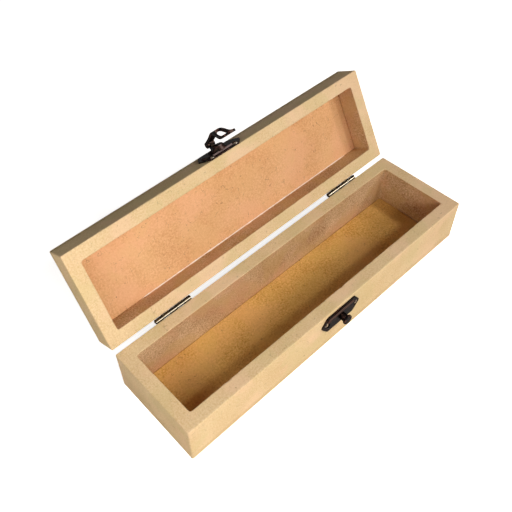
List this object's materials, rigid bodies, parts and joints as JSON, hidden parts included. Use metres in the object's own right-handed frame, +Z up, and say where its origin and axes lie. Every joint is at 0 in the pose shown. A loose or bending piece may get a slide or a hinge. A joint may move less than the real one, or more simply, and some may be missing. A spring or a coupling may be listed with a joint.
{
  "type": "pencil box",
  "caption": "Slim hinged pencil box in raw MDF, standing open, with butt hinges at the back and a hasp and knob latch in front.",
  "frame": {"origin": "centre of the underside, on the surface the box stands on", "axes": "+X along the box, to its right end as seen from the front; +Y from the front, where the latch is, to the back, where the hinges are; +Z up"},
  "size_m": [0.22, 0.1137, 0.1024],
  "materials": {
    "mdf_frame": "raw MDF, sanded faces and sawn inner walls",
    "mdf_panel": "raw MDF, smooth pressed face",
    "dark_bronze": "dark antique bronze, satin, patchy brown and green",
    "nail": "dark antique bronze, domed heads rubbed brighter"
  },
  "bodies": {
    "base": {"base_frame": "mdf_frame", "base_bottom_panel": "mdf_panel", "left_hinge_base_leaf": "dark_bronze", "right_hinge_base_leaf": "dark_bronze", "left_hinge_base_nails": "nail", "right_hinge_base_nails": "nail", "left_hinge_pin": "dark_bronze", "right_hinge_pin": "dark_bronze", "catch_plate": "dark_bronze", "catch_knob": "dark_bronze", "catch_plate_nails": "nail"},
    "lid": {"lid_frame": "mdf_frame", "lid_top_panel": "mdf_panel", "left_hinge_lid_leaf": "dark_bronze", "right_hinge_lid_leaf": "dark_bronze", "left_hinge_lid_nails": "nail", "right_hinge_lid_nails": "nail", "latch_plate": "dark_bronze", "latch_plate_nails": "nail", "latch_pin": "dark_bronze"},
    "hasp": {"latch_hasp": "dark_bronze"}
  },
  "joints": [
    {"name": "lid_hinge", "type": "hinge", "parent": "base", "child": "lid", "pos_m": [0, 0.0314, 0.03], "axis": [1, 0, 0], "range_deg": [-61.3, 118.7]},
    {"name": "hasp_hinge", "type": "hinge", "parent": "lid", "child": "hasp", "pos_m": [0, 0.07536, 0.08072], "axis": [1, 0, 0], "range_deg": [-100, 20]}
  ]
}
